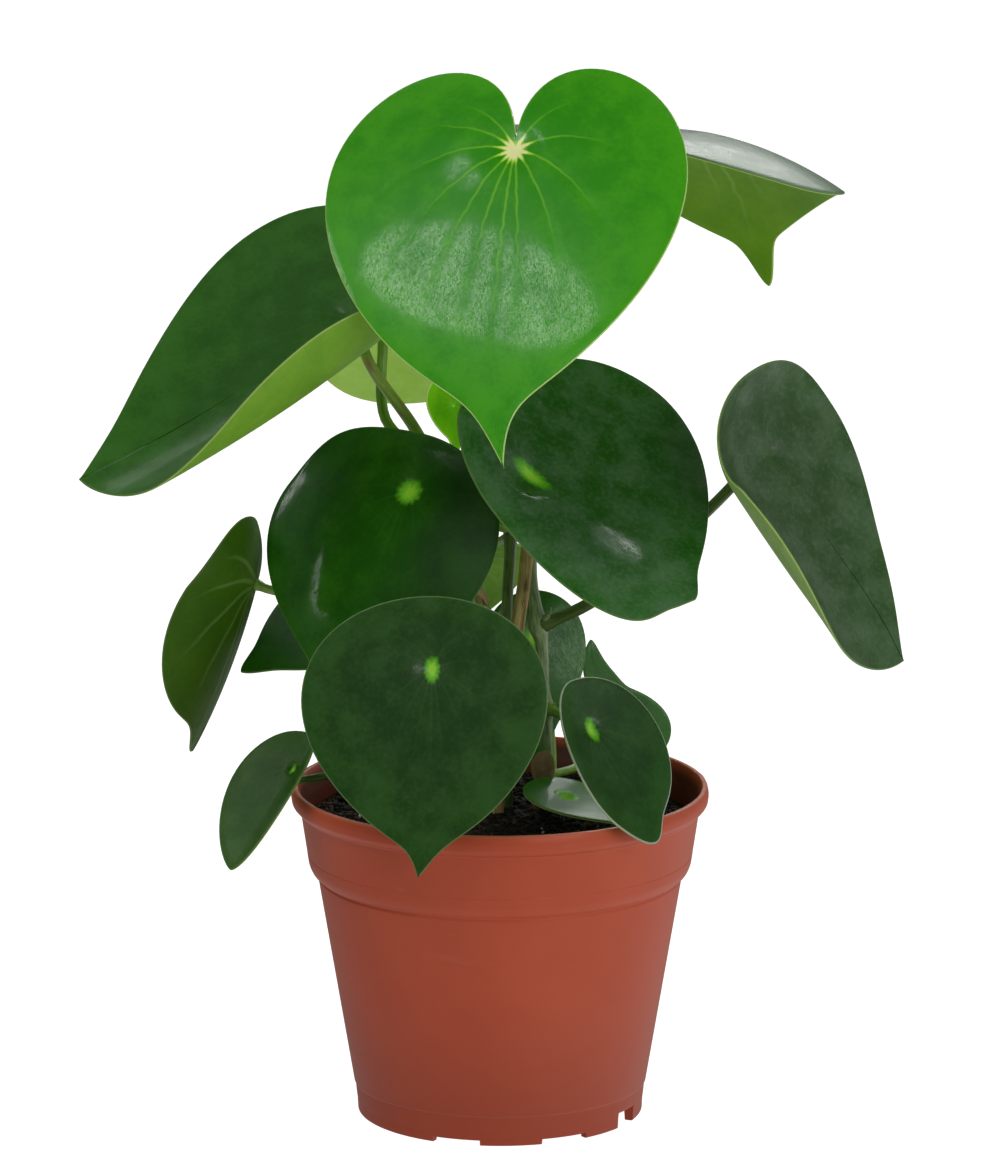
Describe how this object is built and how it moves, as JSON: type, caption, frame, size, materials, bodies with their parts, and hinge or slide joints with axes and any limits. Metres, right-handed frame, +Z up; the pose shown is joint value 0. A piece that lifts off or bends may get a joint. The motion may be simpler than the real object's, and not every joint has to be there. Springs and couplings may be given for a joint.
{
  "type": "potted peperomia",
  "caption": "Potted peperomia with round glossy leaves, drip tips and pale navels on slender petioles, on upright stems in soil, in a tapered plastic nursery pot.",
  "frame": {"origin": "centre of the pot's base on the surface it stands on, which is also the middle of the bounding box's bottom to within 2 mm", "axes": "+Z up along the pot's axis, -Y towards the side that the picture shows, +X to the right there"},
  "size_m": [0.2338, 0.1597, 0.3054],
  "materials": {
    "pot_plastic": "satin terracotta-coloured plastic",
    "soil": "damp dark potting mix",
    "leaf_dark": "glossy dark green leaf",
    "leaf_bright": "glossy bright green leaf",
    "leaf_underside": "pale matt leaf underside",
    "petiole": "smooth green stalk",
    "stem_green": "smooth green stem",
    "stem_woody": "tan woody stem",
    "dry_bract": "dried brown sheath"
  },
  "bodies": {
    "root": {"back_centre_blade": "leaf_underside", "back_centre_petiole": "petiole", "back_right_blade": "leaf_dark", "back_right_petiole": "petiole", "behind_stem_blade": "leaf_dark", "behind_stem_petiole": "petiole", "centre_left_blade": "leaf_dark", "centre_left_petiole": "petiole", "centre_right_blade": "leaf_dark", "centre_right_petiole": "petiole", "dry_bract": "dry_bract", "front_low_blade": "leaf_dark", "front_low_petiole": "petiole", "heart_top_blade": "leaf_bright", "heart_top_petiole": "petiole", "left_behind_blade": "leaf_dark", "left_behind_petiole": "petiole", "left_low_blade": "leaf_dark", "left_low_petiole": "petiole", "left_mid_blade": "leaf_dark", "left_mid_petiole": "petiole", "left_stem": "stem_green", "left_up_blade": "leaf_dark", "left_up_petiole": "petiole", "pale_back_blade": "leaf_underside", "pale_back_petiole": "petiole", "pot": "pot_plastic", "right_behind_blade": "leaf_dark", "right_behind_petiole": "petiole", "right_low_blade": "leaf_dark", "right_low_petiole": "petiole", "right_out_blade": "leaf_dark", "right_out_petiole": "petiole", "right_stem": "stem_green", "soil": "soil", "soil_leaf_blade": "leaf_dark", "soil_leaf_petiole": "petiole", "woody_stem": "stem_woody", "young_centre_blade": "leaf_bright", "young_centre_petiole": "petiole"}
  },
  "joints": []
}
